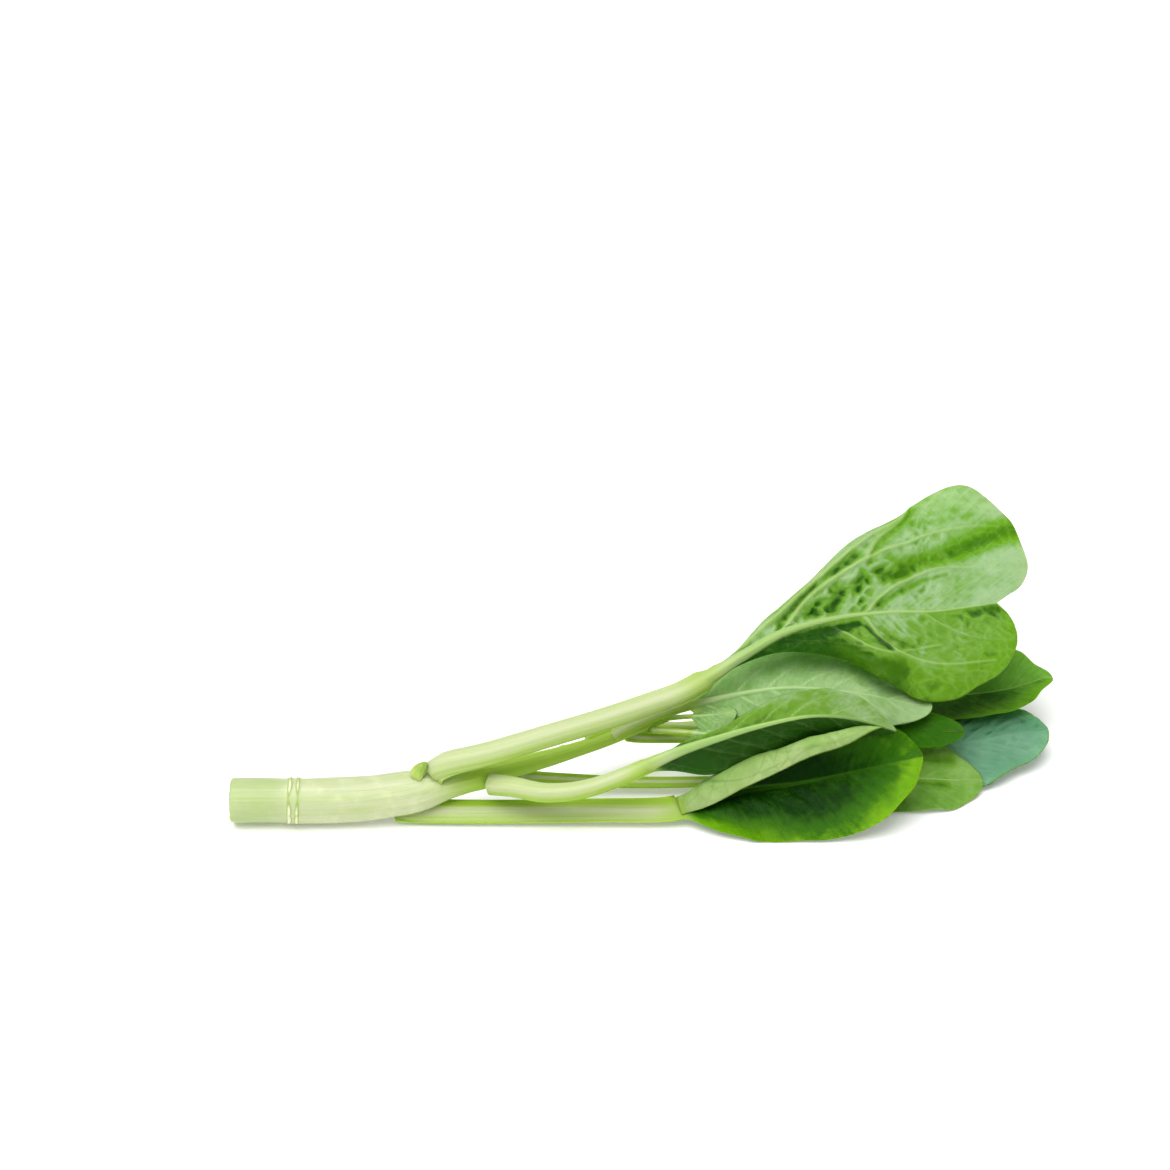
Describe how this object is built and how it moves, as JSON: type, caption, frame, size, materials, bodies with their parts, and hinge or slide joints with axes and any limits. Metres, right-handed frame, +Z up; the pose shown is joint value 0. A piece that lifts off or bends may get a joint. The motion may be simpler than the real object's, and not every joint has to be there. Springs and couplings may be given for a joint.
{
  "type": "choy sum stalk",
  "caption": "Cut stalk of choy sum lying on its side: a pale green stem with long ribbed leaf stalks and broad, veined green leaves that fan out at one end.",
  "frame": {"origin": "middle of the underside of the lying stalk's box, on the surface that it rests on", "axes": "+X from the cut end of the stem towards the leaf tips, +Z up, +Y away from the side that is seen first"},
  "size_m": [0.303, 0.115, 0.0789],
  "materials": {
    "stem": "satin",
    "leaf_bright": "satin",
    "leaf_deep": "satin",
    "leaf_blue_green": "matte"
  },
  "bodies": {
    "root": {"main_stem": "stem", "leaf_top": "leaf_bright", "leaf_middle": "leaf_bright", "leaf_front": "leaf_deep", "leaf_low": "leaf_bright", "leaf_rear": "leaf_deep", "leaf_blue": "leaf_blue_green", "leaf_pale": "leaf_bright", "leaf_inner": "leaf_deep", "young_leaf_long": "leaf_bright", "young_leaf_short": "leaf_bright", "axillary_bud": "leaf_bright"}
  },
  "joints": []
}
